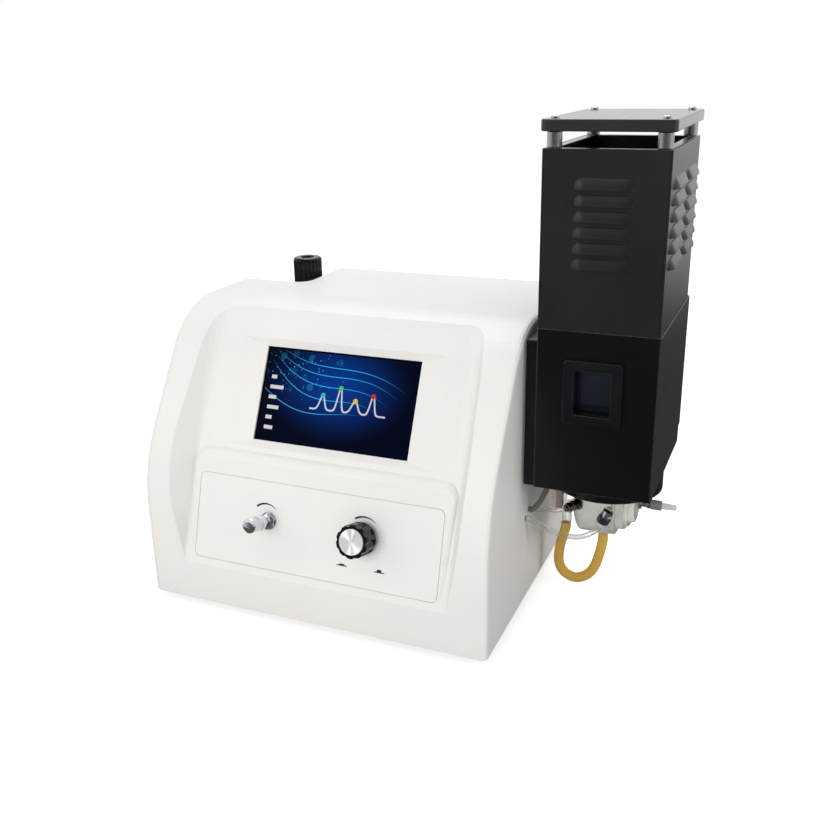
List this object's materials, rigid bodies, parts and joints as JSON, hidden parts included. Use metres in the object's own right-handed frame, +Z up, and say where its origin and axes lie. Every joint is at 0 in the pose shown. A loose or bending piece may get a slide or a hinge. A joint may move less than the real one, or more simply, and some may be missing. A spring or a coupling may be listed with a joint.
{
  "type": "flame photometer",
  "caption": "Bench flame photometer: moulded casing with touch screen and valve knobs, louvred burner tower over a spray chamber with drain loop.",
  "frame": {"origin": "on the surface it stands on, under the middle of its overall box", "axes": "+Z up, front with the screen faces -Y, burner tower at +X"},
  "size_m": [0.4662, 0.313, 0.4473],
  "materials": {
    "white_casing": "semi-matte warm white moulding",
    "casing_sheet": "warm white powder coat",
    "base_steel": "plain sheet steel",
    "foot_rubber": "matte black",
    "screen_glass": "dark glossy touch display, kept opaque",
    "black_powder_coat": "satin black powder coat",
    "black_plastic": "matte black moulding",
    "chrome": "polished",
    "spun_aluminium": "spun face",
    "knob_plastic": "glossy black",
    "brass": "turned",
    "sight_glass": "dark filter glass",
    "frosted_plastic": "frosted grey, slightly see-through",
    "clear_tube": "clear hose",
    "latex_tube": "yellow ochre latex",
    "grey_sleeve": "matte grey",
    "dark_fitting": "dark plated",
    "pale_tip": "pale",
    "circuit_board": "green board",
    "bowl_plastic": "clear polycarbonate"
  },
  "bodies": {
    "instrument": {"front_cover": "white_casing", "rear_casing": "casing_sheet", "base_plate": "base_steel", "foot_front_left": "foot_rubber", "foot_front_right": "foot_rubber", "foot_rear_left": "foot_rubber", "foot_rear_right": "foot_rubber", "display_module": "screen_glass", "control_panel": "casing_sheet", "fine_valve": "chrome", "gas_valve": "brass", "light_duct": "black_powder_coat", "burner_box_wrapper": "black_powder_coat", "burner_box_floor": "black_powder_coat", "burner_box_rear_cover": "black_powder_coat", "window_bezel": "black_plastic", "sight_glass": "sight_glass", "chimney_front": "black_powder_coat", "chimney_left": "black_powder_coat", "chimney_right": "black_powder_coat", "chimney_rear": "black_powder_coat", "chimney_rim": "black_powder_coat", "heat_shield_plate": "black_powder_coat", "post_front_left": "base_steel", "post_front_right": "base_steel", "post_rear_left": "base_steel", "post_rear_right": "base_steel", "burner_skirt": "black_powder_coat", "spray_chamber": "frosted_plastic", "chamber_end_cap": "frosted_plastic", "burner_riser": "spun_aluminium", "burner_head": "base_steel", "nebulizer_body": "base_steel", "nebulizer_sleeve": "grey_sleeve", "sample_tip": "pale_tip", "air_union": "dark_fitting", "gas_union": "chrome", "air_tube": "clear_tube", "gas_tube": "clear_tube", "igniter_lead_sleeve": "grey_sleeve", "drain_tube": "latex_tube", "drain_elbow": "clear_tube", "floor_pillar": "brass", "regulator_body": "black_plastic", "regulator_bowl": "bowl_plastic", "regulator_bracket": "base_steel", "power_inlet": "black_plastic", "switch_frame": "black_plastic", "gas_inlet": "brass", "main_board": "circuit_board", "power_supply": "spun_aluminium", "optics_block": "black_plastic", "optics_lens": "sight_glass"},
    "fine_knob": {"fine_adjust_knob": "chrome"},
    "gas_button": {"gas_push_rod": "base_steel"},
    "gas_knob": {"gas_valve_knob": "knob_plastic", "gas_knob_cap": "spun_aluminium"},
    "pressure_knob": {"regulator_knob": "black_plastic"},
    "switch_rocker": {"rocker": "black_plastic"}
  },
  "joints": [
    {"name": "fine_adjust_turn", "type": "hinge", "parent": "instrument", "child": "fine_knob", "pos_m": [-0.1076, -0.11998, 0.09618], "axis": [0, -0.9563, 0.2924], "continuous": true},
    {"name": "gas_button_press", "type": "slide", "parent": "instrument", "child": "gas_button", "axis": [0, 0.9563, -0.2924], "range_m": [0, 0.0035], "stiffness_N_per_m": 400, "springref_m": -0.002},
    {"name": "gas_knob_turn", "type": "hinge", "parent": "gas_button", "child": "gas_knob", "pos_m": [-0.0121, -0.11998, 0.09618], "axis": [0, -0.9563, 0.2924], "range_deg": [0, 270]},
    {"name": "pressure_turn", "type": "hinge", "parent": "instrument", "child": "pressure_knob", "pos_m": [-0.1787, 0.10753, 0.29], "axis": [0, 0, 1], "continuous": true},
    {"name": "power_switch", "type": "hinge", "parent": "instrument", "child": "switch_rocker", "pos_m": [0.0019, 0.14233, 0.058], "axis": [1, 0, 0], "range_deg": [-24, 0]}
  ]
}
